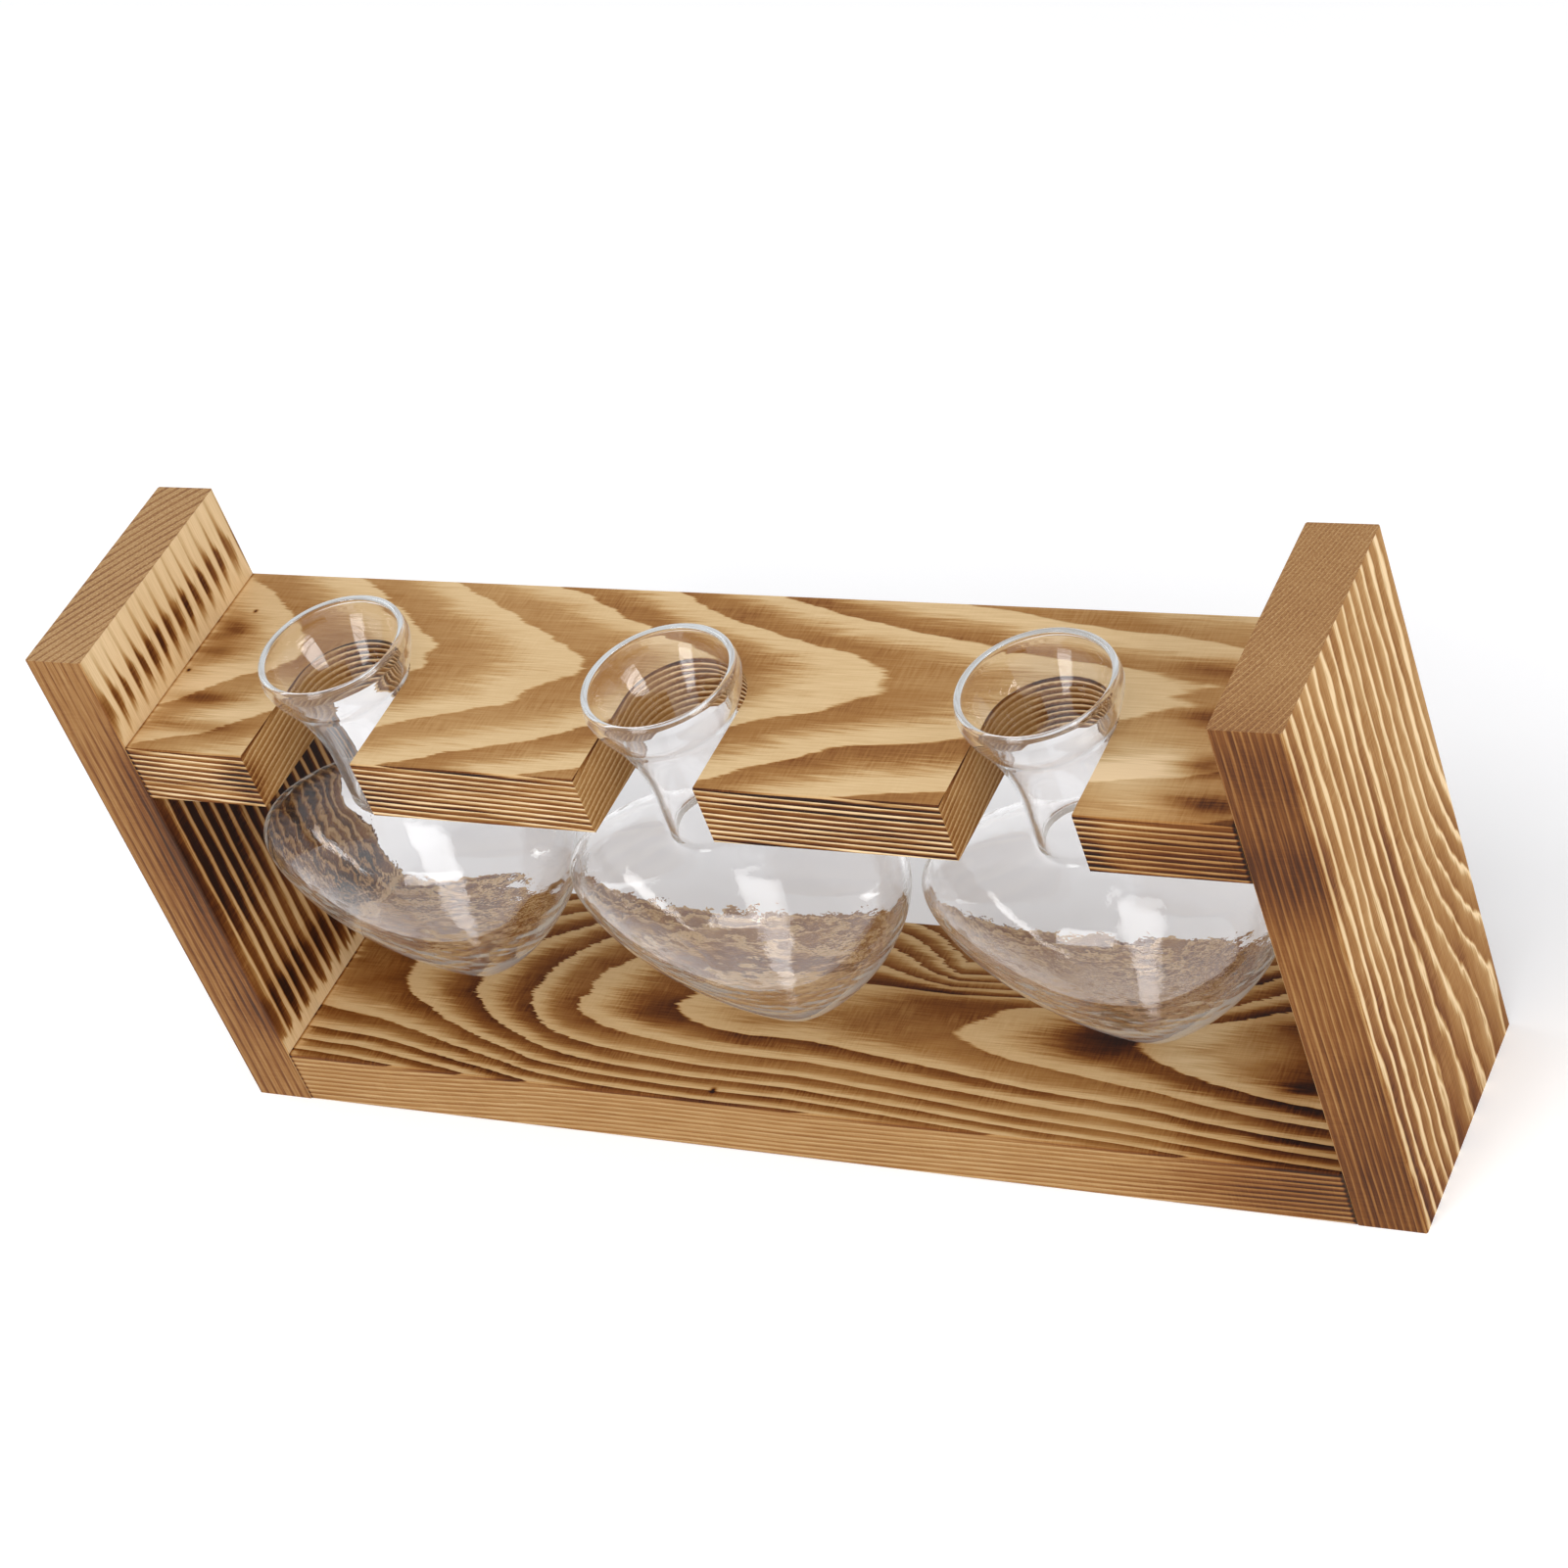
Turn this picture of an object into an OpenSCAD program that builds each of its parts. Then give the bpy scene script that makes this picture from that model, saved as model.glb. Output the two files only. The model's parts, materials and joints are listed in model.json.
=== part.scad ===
// Three glass vases with flattened bulbs, hung by their cups in the open notches of a small wooden frame.
// Origin on the table under the frame's middle, +X to the right, +Y to the back, +Z up.

/* [Frame] */
// Length of the frame over both end panels
frame_length = 290; // [240:1:360]
// Depth of every board, front to back
frame_depth = 59; // [54:0.5:80]
// Height of the end panels
panel_height = 136; // [124:1:170]
// Thickness of each end panel
panel_thickness = 15; // [12:0.5:18]
// Thickness of the base board
base_thickness = 15; // [11:0.5:19]
// Thickness of the shelf
shelf_thickness = 15; // [11:0.5:20]
// Height of the shelf's top face above the table
shelf_top = 111.5; // [108:0.5:120]
// Flat planed along every long edge of a board
edge_break = 0.3; // [0.1:0.1:0.8]

/* [Notches] */
// Width of each notch
notch_width = 28.4; // [26:0.2:31]
// Depth of each notch, from the front edge to its round end
notch_depth = 39; // [36:0.5:46]
// How far the row of notches lies left of the frame's middle
row_offset = 1.2; // [0:0.1:2]

/* [Dowels] */
// Diameter of each dowel
dowel_d = 6; // [5:0.5:8]
// Length of each dowel
dowel_length = 24; // [18:1:30]
// Depth of a dowel's hole in an end panel
panel_hole_depth = 9; // [6:0.5:10]
// Distance between the two dowels of one joint
dowel_spacing = 32; // [24:1:40]
// Chamfer at each end of a dowel
dowel_chamfer = 0.8; // [0.4:0.1:1.2]
// Room for glue round a dowel
dowel_clearance = 0.1; // [0.05:0.05:0.2]
// Room for glue past each end of a dowel
glue_room = 0.5; // [0.2:0.1:1]

/* [Cup and neck] */
// Diameter of the mouth over its lip
mouth_d = 32.8; // [31:0.2:33.6]
// Diameter of the cup where it is fullest
cup_d = 34; // [32.8:0.2:38]
// Diameter of the straight neck
neck_d = 20.2; // [17:0.2:24]
// Height of the mouth above the shelf
mouth_rise = 10.9; // [9.5:0.1:12]
// Height of the cup's fullest ring above the shelf
cup_rise = 7.5; // [5:0.1:8]
// Drop from the shelf's top face to the top of the straight neck
neck_drop = 18; // [15:0.5:20]
// Length of the straight neck
neck_length = 8; // [6:0.5:10]
// Diameter of the rounded bead round the lip
lip_bead_d = 2; // [1.6:0.1:2.4]
// Thickness of the glass
glass_wall = 1.3; // [1:0.1:1.6]
// Gap between a cup and the notch edges that carry it
seat_gap = 0.3; // [0.2:0.05:0.5]

/* [Bulbs] */
// Gap between two neighbouring bulbs
bulb_gap = 3.5; // [1.5:0.5:12]
// Gap between an outer bulb and its end panel, with the row in the middle
end_gap = 6.5; // [4:0.5:20]
// Thickness of each bulb, front to back
bulb_depth = 45; // [32:0.5:49]
// Drop from the neck's foot to the bulb's widest ring
shoulder_drop = 18; // [15:0.5:21]
// Drop from the widest ring to the bulb's bottom
bulb_drop = 46; // [38:0.5:48]
// Thickness of the glass at the bulb's bottom
glass_floor = 2.4; // [1.6:0.1:3]
// How far the middle vase stands forward of the end of its notch
middle_forward = 4; // [0:0.5:8]

/* [Hidden] */
LEFT = -1;
RIGHT = 1;
FRONT = -1;
BACK = 1;
HALF_TURN = 180;
round_sides = 96;
// Length by which a cut runs past the face that it opens
overrun = 1;

// Places along the frame, and the heights of the two boards' middles
inner_face_x = frame_length / 2 - panel_thickness;
board_length = frame_length - 2 * panel_thickness;
front_y = -frame_depth / 2;
shelf_middle_z = shelf_top - shelf_thickness / 2;
base_middle_z = base_thickness / 2;
notch_end_y = front_y + notch_depth - notch_width / 2;
// A cup sits in the round end of its notch
vase_y = notch_end_y;
middle_x = -row_offset;
// The bulbs share the room between the panels, and the notches follow them
vase_count = 3;
bulb_width = (board_length - 2 * end_gap - (vase_count - 1) * bulb_gap) / vase_count;
notch_pitch = bulb_width + bulb_gap;

// Dowels and their blind holes
dowel_in_panel = panel_hole_depth - glue_room;
board_hole_depth = dowel_length - dowel_in_panel + glue_room;
dowel_hole_r = dowel_d / 2 + dowel_clearance;

// The vase in its own frame: its axis is Z, and Z is zero at the shelf's top face
mouth_r = mouth_d / 2;
cup_r = cup_d / 2;
neck_r = neck_d / 2;
seat_r = notch_width / 2 - seat_gap;
bead_r = lip_bead_d / 2;
neck_top_z = -neck_drop;
neck_foot_z = -neck_drop - neck_length;
widest_z = neck_foot_z - shoulder_drop;
bottom_z = widest_z - bulb_drop;
// A collar of slightly thicker glass joins the neck to the bulb
collar_height = glass_wall * 1.5;
collar_lap = glass_wall / 8;

// Powers that shape the funnel, the cup, the shoulder and the tapering lower half
funnel_power_share = 2;
cup_power_share = 1.5;
lip_power_share = 2;
shoulder_powers_share = [2.6, 1.6];
taper_powers_share = [1.6, 1.2];
funnel_steps = 9;
cup_steps = 6;
lip_steps = 4;
bulb_sides = 40;
shoulder_rings = 6;
taper_rings = 9;

// Outer radius of the cup and the neck at height z
function funnel_r(z) = neck_r + (seat_r - neck_r) * pow(1 - z / neck_top_z, funnel_power_share);
function cup_wall_r(z) = cup_r - (cup_r - seat_r) * pow(1 - z / cup_rise, cup_power_share);
function lip_r(z) =
    cup_r - (cup_r - mouth_r) * pow((z - cup_rise) / (mouth_rise - cup_rise), lip_power_share);
function glass_r(z) = z < 0 ? funnel_r(z) : z < cup_rise ? cup_wall_r(z) : lip_r(z);

// Points up the outside of the glass, from the neck's top to the middle of the lip's bead
glass_heights = concat([for (i = [0 : funnel_steps]) neck_top_z * (1 - i / funnel_steps)],
                       [for (i = [1 : cup_steps]) cup_rise * i / cup_steps],
                       [for (i = [1 : lip_steps]) cup_rise + (mouth_rise - bead_r - cup_rise) * i / lip_steps]);

// Share of the bulb's full size at a share t of the way up its shoulder, and at a share u of the way down
function shoulder_share(t) = pow(1 - pow(t, shoulder_powers_share[0]), shoulder_powers_share[1]);
function taper_share(u) = pow(1 - pow(u, taper_powers_share[0]), 1 / taper_powers_share[1]);

// Rings of one surface of the bulb, top to bottom, each as [half width, half depth, height]
function bulb_rings(neck, half_width, half_depth, top, foot, bottom) = concat(
    [[neck, neck, top]],
    [for (i = [0 : shoulder_rings - 1])
        let (t = 1 - i / shoulder_rings, s = shoulder_share(t))
        [neck + (half_width - neck) * s, neck + (half_depth - neck) * s, widest_z + (foot - widest_z) * t]],
    [for (i = [0 : taper_rings - 1])
        let (u = sin(HALF_TURN / 2 * i / taper_rings), s = taper_share(u))
        [half_width * s, half_depth * s, widest_z + (bottom - widest_z) * u]]);

function ring_points(rings) = [for (r = rings, j = [0 : bulb_sides - 1])
    let (a = 2 * HALF_TURN * j / bulb_sides) [r[0] * cos(a), r[1] * sin(a), r[2]]];

// Triangles between neighbouring rings of a surface whose points start at index first
function wall_faces(first, count, outward) = [
    for (i = [0 : count - 2], j = [0 : bulb_sides - 1], half = [0, 1])
        let (k = (j + 1) % bulb_sides, a = first + i * bulb_sides, b = a + bulb_sides,
             f = half == 0 ? [a + j, a + k, b + j] : [a + k, b + k, b + j])
        outward ? f : [f[2], f[1], f[0]]];
function tip_faces(first, tip, outward) = [
    for (j = [0 : bulb_sides - 1])
        let (f = [first + j, first + (j + 1) % bulb_sides, tip]) outward ? f : [f[2], f[1], f[0]]];
function collar_faces(inner_first) = [
    for (j = [0 : bulb_sides - 1], half = [0, 1])
        let (k = (j + 1) % bulb_sides)
        half == 0 ? [j, inner_first + j, k] : [k, inner_first + j, inner_first + k]];

// A board cut from planed stock with its long edges broken, centred, its length along Z
module planed_stock(width, thickness, length) {
    w = width / 2;
    t = thickness / 2;
    linear_extrude(length, center = true)
        polygon([[w - edge_break, -t], [w, edge_break - t], [w, t - edge_break], [w - edge_break, t],
                 [edge_break - w, t], [-w, t - edge_break], [-w, edge_break - t], [edge_break - w, -t]]);
}

// The blind holes for the two dowels of a joint, along X, opening at x = 0 towards -X
module dowel_holes(depth) {
    for (side = [FRONT, BACK])
        translate([-overrun, side * dowel_spacing / 2, 0])
            rotate([0, 90, 0])
                cylinder(h = depth + overrun, r = dowel_hole_r, $fn = round_sides);
}

// An end panel, its grain upright, with holes for the shelf's and the base board's dowels
module end_panel(side) {
    color("peru")
        difference() {
            translate([side * (inner_face_x + panel_thickness / 2), 0, panel_height / 2])
                planed_stock(panel_thickness, frame_depth, panel_height);
            for (z = [shelf_middle_z, base_middle_z])
                translate([side * inner_face_x, 0, z])
                    mirror([side == LEFT ? 1 : 0, 0, 0]) dowel_holes(panel_hole_depth);
        }
}

// A board between the panels, its grain along X, with dowel holes in both ends
module cross_board(thickness, z) {
    difference() {
        translate([0, 0, z]) rotate([0, 90, 0]) planed_stock(thickness, frame_depth, board_length);
        for (side = [LEFT, RIGHT])
            translate([side * inner_face_x, 0, z])
                mirror([side == RIGHT ? 1 : 0, 0, 0]) dowel_holes(board_hole_depth);
    }
}

// The cutter for one notch: open at the front, with a half round end
module notch_cutter() {
    translate([0, notch_end_y, shelf_middle_z]) {
        cylinder(h = shelf_thickness + 2 * overrun, d = notch_width, center = true, $fn = round_sides);
        translate([-notch_width / 2, front_y - notch_end_y - overrun, -shelf_thickness / 2 - overrun])
            cube([notch_width, notch_end_y - front_y + overrun, shelf_thickness + 2 * overrun]);
    }
}

module base_board() {
    color("burlywood") cross_board(base_thickness, base_middle_z);
}

module shelf() {
    color("burlywood")
        difference() {
            cross_board(shelf_thickness, shelf_middle_z);
            for (i = [-1, 0, 1]) translate([middle_x + i * notch_pitch, 0, 0]) notch_cutter();
        }
}

// One dowel, half hidden in an end panel and half in the end of a board
module dowel(side, end, z) {
    color("tan")
        translate([side * (inner_face_x + dowel_in_panel), end * dowel_spacing / 2, z])
            rotate([0, -side * 90, 0]) {
                cylinder(h = dowel_chamfer, r1 = dowel_d / 2 - dowel_chamfer, r2 = dowel_d / 2,
                         $fn = round_sides);
                translate([0, 0, dowel_chamfer])
                    cylinder(h = dowel_length - 2 * dowel_chamfer, d = dowel_d, $fn = round_sides);
                translate([0, 0, dowel_length - dowel_chamfer])
                    cylinder(h = dowel_chamfer, r1 = dowel_d / 2, r2 = dowel_d / 2 - dowel_chamfer,
                             $fn = round_sides);
            }
}

// The cup, the funnel and the straight neck, with a bead round the lip
module cup_and_neck() {
    tube_foot_z = neck_foot_z - collar_height / 2;
    rotate_extrude($fn = round_sides) {
        polygon(concat([[neck_r - glass_wall, tube_foot_z], [neck_r, tube_foot_z]],
                       [for (z = glass_heights) [glass_r(z), z]],
                       [for (i = [len(glass_heights) - 1 : -1 : 0])
                           [glass_r(glass_heights[i]) - glass_wall, glass_heights[i]]]));
        translate([mouth_r - bead_r, mouth_rise - bead_r]) circle(r = bead_r, $fn = round_sides / 4);
    }
}

// The flattened bulb, as one shell that is open at its collar
module bulb() {
    outer = bulb_rings(neck_r + collar_lap, bulb_width / 2, bulb_depth / 2,
                       neck_foot_z, neck_foot_z - collar_height, bottom_z);
    inner = bulb_rings(neck_r - glass_wall - collar_lap, bulb_width / 2 - glass_wall, bulb_depth / 2 - glass_wall,
                       neck_foot_z, neck_foot_z - collar_height - glass_wall, bottom_z + glass_floor);
    count = len(outer);
    inner_first = count * bulb_sides;
    outer_tip = 2 * inner_first;
    polyhedron(concat(ring_points(outer), ring_points(inner), [[0, 0, bottom_z], [0, 0, bottom_z + glass_floor]]),
               concat(collar_faces(inner_first),
                      wall_faces(0, count, true), tip_faces(inner_first - bulb_sides, outer_tip, true),
                      wall_faces(inner_first, count, false),
                      tip_faces(outer_tip - bulb_sides, outer_tip + 1, false)));
}

// A vase hung in a notch, moved forward from the notch's round end
module vase(place, forward) {
    color([0.82, 0.86, 0.88, 0.4])
        translate([middle_x + place * notch_pitch, vase_y - forward, shelf_top]) {
            cup_and_neck();
            bulb();
        }
}

end_panel(LEFT);  // left_panel
end_panel(RIGHT);  // right_panel
base_board();
shelf();
dowel(LEFT, FRONT, shelf_middle_z);  // shelf_dowel_left_front
dowel(LEFT, BACK, shelf_middle_z);  // shelf_dowel_left_back
dowel(RIGHT, FRONT, shelf_middle_z);  // shelf_dowel_right_front
dowel(RIGHT, BACK, shelf_middle_z);  // shelf_dowel_right_back
dowel(LEFT, FRONT, base_middle_z);  // base_dowel_left_front
dowel(LEFT, BACK, base_middle_z);  // base_dowel_left_back
dowel(RIGHT, FRONT, base_middle_z);  // base_dowel_right_front
dowel(RIGHT, BACK, base_middle_z);  // base_dowel_right_back
vase(LEFT, 0);  // vase_left
vase(0, middle_forward);  // vase_middle
vase(RIGHT, 0);  // vase_right
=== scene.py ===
import json
import math

import bpy
from mathutils import Matrix, Vector


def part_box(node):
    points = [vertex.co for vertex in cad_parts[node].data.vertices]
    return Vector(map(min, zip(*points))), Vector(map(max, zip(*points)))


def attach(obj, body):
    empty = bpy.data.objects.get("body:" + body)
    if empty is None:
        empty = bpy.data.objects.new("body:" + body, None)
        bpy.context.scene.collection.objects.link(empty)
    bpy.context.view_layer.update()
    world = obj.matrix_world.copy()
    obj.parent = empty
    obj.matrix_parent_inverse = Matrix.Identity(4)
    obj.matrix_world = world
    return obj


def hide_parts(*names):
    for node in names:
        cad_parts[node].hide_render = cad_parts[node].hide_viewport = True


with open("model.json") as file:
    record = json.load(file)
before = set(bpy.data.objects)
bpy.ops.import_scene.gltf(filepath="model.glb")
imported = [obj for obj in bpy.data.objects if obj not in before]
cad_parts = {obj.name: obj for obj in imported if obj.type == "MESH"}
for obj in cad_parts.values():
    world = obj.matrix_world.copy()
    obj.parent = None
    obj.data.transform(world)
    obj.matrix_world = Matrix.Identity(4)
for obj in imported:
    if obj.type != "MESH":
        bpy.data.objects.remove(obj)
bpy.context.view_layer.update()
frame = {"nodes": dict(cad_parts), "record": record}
mm = 0.001
print("frame loaded with", len(frame["nodes"]), "nodes")


# Node trees are written as sums: a Wire is one socket, and the usual operators add its Math nodes
class Wire:
    def __init__(self, tree, socket):
        self.tree = tree
        self.socket = socket

    def maths(self, operation, *others):
        return self.tree.node("ShaderNodeMath", {"operation": operation}, dict(enumerate((self, *others))))

    def __add__(self, other):
        return self.maths("ADD", other)

    def __sub__(self, other):
        return self.maths("SUBTRACT", other)

    def __rsub__(self, other):
        return self * -1 + other

    def __mul__(self, other):
        return self.maths("MULTIPLY", other)

    def __truediv__(self, other):
        return self.maths("DIVIDE", other)

    def __pow__(self, other):
        return self.maths("POWER", other)

    __radd__ = __add__
    __rmul__ = __mul__

    def atLeast(self, other):
        return self.maths("MAXIMUM", other)

    def atMost(self, other):
        return self.maths("MINIMUM", other)

    def size(self):
        return self.maths("ABSOLUTE")

    def clipped(self):
        return self.atLeast(0).atMost(1)

    # 0 below low, 1 above high, with a smooth step between
    def step(self, low, high):
        return self.tree.node("ShaderNodeMapRange", {"interpolation_type": "SMOOTHSTEP"},
                              {"Value": self, "From Min": low, "From Max": high})


class Tree:
    def __init__(self, nodeTree):
        self.nodeTree = nodeTree

    # Any node: its type, its settings, then what its sockets hold or are linked to
    def node(self, kind, settings=None, sockets=None, out=0):
        made = self.nodeTree.nodes.new(kind)
        for name, value in (settings or {}).items():
            if name == "stops":
                for place, colour in value[1:-1]:
                    made.color_ramp.elements.new(place)
                for element, (place, colour) in zip(made.color_ramp.elements, value):
                    element.position = place
                    element.color = (*colour, 1)
            elif name == "points":
                line = made.mapping.curves[0]
                for point, place in zip(line.points, (value[0], value[-1])):
                    point.location = place
                for place in value[1:-1]:
                    line.points.new(*place)
                made.mapping.update()
            else:
                setattr(made, name, value)
        for key, value in (sockets or {}).items():
            if isinstance(value, Wire):
                self.nodeTree.links.new(value.socket, made.inputs[key])
            else:
                made.inputs[key].default_value = value
        return made if out is None else Wire(self, made.outputs[out])

    def vector(self, x, y, z):
        return self.node("ShaderNodeCombineXYZ", None, {"X": x, "Y": y, "Z": z})

    def parts(self, vector):
        split = self.node("ShaderNodeSeparateXYZ", None, {0: vector}).socket.node
        return [Wire(self, socket) for socket in split.outputs]

    # Noise about zero whose lumps are as long as lengths says, in the units of the three places
    def noise(self, places, lengths, detail, seed):
        scaled = self.vector(*[place / length for place, length in zip(places, lengths)])
        return self.node("ShaderNodeTexNoise", {"noise_dimensions": "4D"},
                         {"Vector": scaled, "W": seed, "Scale": 1.0, "Detail": detail}) - 0.5

    # A smooth curve through given points
    def curve(self, value, points):
        lowest, length = points[0][0], points[-1][0] - points[0][0]
        heights = [height for _, height in points]
        floor, span = min(heights), max(max(heights) - min(heights), 0.001)
        shares = [((place - lowest) / length, (height - floor) / span) for place, height in points]
        inside = ((value - lowest) / length).clipped()
        return self.node("ShaderNodeFloatCurve", {"points": shares}, {"Value": inside}) * span + floor

    def finish(self, kind, result):
        self.node(kind, None, {"Surface": result}, out=None)

    def blend(self, factor, first, second):
        return self.node("ShaderNodeMix", {"data_type": "RGBA"}, {0: factor, 6: first, 7: second}, out=2)


def emptyMaterial(name):
    material = bpy.data.materials.new(name)
    material.use_nodes = True
    material.node_tree.nodes.clear()
    return material, Tree(material.node_tree)


# An sRGB hex colour as the linear numbers that Blender takes
def hexColour(text):
    shares = [int(text[i:i + 2], 16) / 255 for i in (0, 2, 4)]
    return tuple(c / 12.92 if c <= 0.04045 else ((c + 0.055) / 1.055) ** 2.4 for c in shares)


# Camera: where it stands, which way it looks and which way its right side points
view = {
    "place": (0.41574, -0.51580, 0.59909),
    "forward": (-0.48492, 0.61957, -0.61724),
    "right": (0.87246, 0.39163, -0.29231),
    "lens": 91.67,
    "sensor": 36.0,
    "nearest": 0.01,
    "farthest": 20,
}


def makeCamera():
    lens = bpy.data.cameras.new("viewCamera")
    lens.lens = view["lens"]
    lens.sensor_width = view["sensor"]
    lens.clip_start = view["nearest"]
    lens.clip_end = view["farthest"]
    camera = bpy.data.objects.new("viewCamera", lens)
    back = -Vector(view["forward"]).normalized()
    right = Vector(view["right"]).normalized()
    up = back.cross(right)
    turn = Matrix((right, up, back)).transposed().to_4x4()
    camera.matrix_world = Matrix.Translation(Vector(view["place"])) @ turn
    bpy.context.scene.collection.objects.link(camera)
    bpy.context.scene.camera = camera


makeCamera()
print("camera placed")

# Room: a pale floor that keeps shadows, a white surround and soft lamps
room = {
    "floorSize": 8.0,
    "floorColour": (0.80, 0.80, 0.81),
    "floorLift": 0.34,
    # A painted shadow on the floor behind the frame: where less of the lift shows, and how much less:
    # middle, half length, half width
    "paintedShadow": ((0.0, 0.08), 0.20, 0.09, 0.52),
    "worldColour": (0.96, 0.97, 1.0),
    "worldStrength": 0.45,
    "lamps": {
        # name: place, aim, width, height, watts, colour
        "keyLamp": ((0.14, -0.60, 1.25), (0, 0, 0.07), 0.65, 0.45, 5.4, (1.0, 0.99, 0.97)),
        "frontLamp": ((-0.27, -1.15, 0.42), (0, 0, 0.07), 0.42, 0.72, 4.4, (0.98, 0.99, 1.0)),
        "leftLamp": ((-1.02, 0.05, 0.74), (0, 0, 0.07), 0.75, 0.50, 3.2, (0.98, 0.99, 1.0)),
        "rightLamp": ((1.15, -0.30, 0.55), (0, 0, 0.07), 0.60, 0.60, 7.0, (1.0, 0.99, 0.97)),
    },
    # Lamps that the glass doesn't mirror
    "unmirrored": ["keyLamp"],
}


# 1 where a ray of one of these kinds looks at the surface
def seenBy(tree, *kinds):
    path = tree.node("ShaderNodeLightPath").socket.node
    seen = Wire(tree, path.outputs[kinds[0]])
    for kind in kinds[1:]:
        seen = seen.atLeast(Wire(tree, path.outputs[kind]))
    return seen


def makeWorld():
    world = bpy.data.worlds.new("studio")
    world.use_nodes = True
    world.node_tree.nodes.clear()
    bpy.context.scene.world = world
    tree = Tree(world.node_tree)
    lit = tree.node("ShaderNodeBackground", None,
                    {"Color": (*room["worldColour"], 1), "Strength": room["worldStrength"]})
    white = tree.node("ShaderNodeBackground", None, {"Color": (1, 1, 1, 1), "Strength": 1.0})
    seen = seenBy(tree, "Is Camera Ray", "Is Glossy Ray", "Is Transmission Ray")
    mixed = tree.node("ShaderNodeMixShader", None, {0: seen, 1: lit, 2: white})
    tree.finish("ShaderNodeOutputWorld", mixed)


def makeFloor():
    half = room["floorSize"] / 2
    mesh = bpy.data.meshes.new("floor")
    corners = [(-half, -half, 0), (half, -half, 0), (half, half, 0), (-half, half, 0)]
    mesh.from_pydata(corners, [], [(0, 1, 2, 3)])
    floor = bpy.data.objects.new("floor", mesh)
    bpy.context.scene.collection.objects.link(floor)
    material, tree = emptyMaterial("paleFloor")
    seen = seenBy(tree, "Is Camera Ray", "Is Glossy Ray", "Is Transmission Ray")
    plain = tree.node("ShaderNodeBsdfDiffuse", None, {"Color": (*room["floorColour"], 1)})
    # Painted shadow: the lift is weaker in a soft patch behind the frame, so the floor there reads grey
    (middleX, middleY), halfLength, halfWidth, paintedShadowDepth = room["paintedShadow"]
    x, y, _ = tree.parts(tree.node("ShaderNodeTexCoord", out="Object"))
    off = ((x - middleX) / halfLength) ** 2 + ((y - middleY) / halfWidth) ** 2
    grey = 1 - (off * off * -1).maths("EXPONENT") * paintedShadowDepth
    lift = tree.node("ShaderNodeEmission", None, {
        "Color": tree.vector(grey, grey, grey), "Strength": seen * room["floorLift"]})
    tree.finish("ShaderNodeOutputMaterial", tree.node("ShaderNodeAddShader", None, {0: plain, 1: lift}))
    mesh.materials.append(material)


def makeLamps():
    for name, (place, aim, width, height, watts, colour) in room["lamps"].items():
        lamp = bpy.data.lights.new(name, "AREA")
        lamp.shape = "RECTANGLE"
        lamp.size = width
        lamp.size_y = height
        lamp.energy = watts
        lamp.color = colour
        stand = bpy.data.objects.new(name, lamp)
        stand.location = place
        stand.rotation_euler = (Vector(aim) - Vector(place)).to_track_quat("-Z", "Y").to_euler()
        mirrored = name not in room["unmirrored"]
        stand.visible_glossy = mirrored
        stand.visible_transmission = mirrored
        bpy.context.scene.collection.objects.link(stand)


bpy.context.scene.view_settings.view_transform = "Standard"
makeWorld()
makeFloor()
makeLamps()
print("floor and lamps made")

# Scorched and brushed pine, in millimetres. Each board has a field of rings that grows by one a year ring.
# A ring starts scorched at a sharp edge and fades to pale wood.
pineTones = [
    (0.00, hexColour("F4D6AA")),
    (0.14, hexColour("DEBF90")),
    (0.32, hexColour("C29A66")),
    (0.52, hexColour("A1723E")),
    (0.70, hexColour("7B481C")),
    (0.86, hexColour("4C2308")),
    (1.00, hexColour("220C04")),
]
# Noises: the lumps' length along the grain, across it and through it, their detail, and a step of the seed
grain = {
    "wave": ((60, 16, 16), 1.0, 0),
    "jag": ((7, 0.45, 0.45), 2.0, 1),
    "feather": ((11, 0.45, 0.45), 3.0, 2),
    "patches": ((50, 20, 20), 2.0, 3),
    "fibre": ((9, 0.3, 0.3), 2.0, 4),
    "comb": ((0.55, 5, 5), 2.0, 5),
    "blotches": ((16, 3.5, 3.5), 2.0, 6),
    "wobble": ((14, 3.5, 3.5), 2.0, 7),
    "flame": ((60, 1.3, 1.3), 1.0, 8),
    "combed": ((14, 7, 7), 1.0, 9),
    "speckle": ((0.42, 0.42, 0.42), 2.0, 10),
}
brushing = {
    "facing": (0.2, 0.8),  # how square to an axis a face is, to count as a side or an end
    "boardEnd": (129.7, 129.8),  # where a board's end lies, which a notch's wall doesn't reach
    "calm": 0.25,  # the share of the wobble that the sides and ends keep
    "wavy": 2.0, "flameReach": 9.0, "blotchShare": 0.5, "patchToast": 0.08,
    "outside": (138, 142),  # how far from the middle a panel's outer face is
    "ragged": 1.6, "ringChance": 0.16, "pointDepth": 1.5,  # how a ring's fading varies
    "edgeTone": 1.14, "leastTone": 0.87, "toneChance": 0.25,  # how a ring's darkness varies
    "paleWidth": 0.24,  # how much later a ring fades where a panel's lines spread
    "joint": (129.1, 129.9), "jointShadow": 0.35,  # joints are darkened by a painted gap shadow
    "brink": (1.1, 0.2), "brinkToast": 0.3,  # the upper edge of the sides is scorched more
    "fibreTone": 0.22, "speckleTone": 0.60, "fineRings": 3.0, "fineRingTone": 0.16, "poreTone": 0.8,
    "combTone": 0.36, "sideComb": 0.35, "combedFrom": (-0.12, 0.16), "combedShare": 0.8, "combedLeast": 0.35,
    "combDepth": 1.6, "combStart": 0.1,  # the comb shows in patches, where the wood is burnt
    "ringHeight": 0.6, "fibreHeight": 0.5, "combHeight": 0.15, "relief": 0.16, "bump": 0.6,
    "roughness": 0.62, "fibreRoughness": 0.2, "shine": 0.12,
    "grey": hexColour("9C8068"),
}
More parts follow.
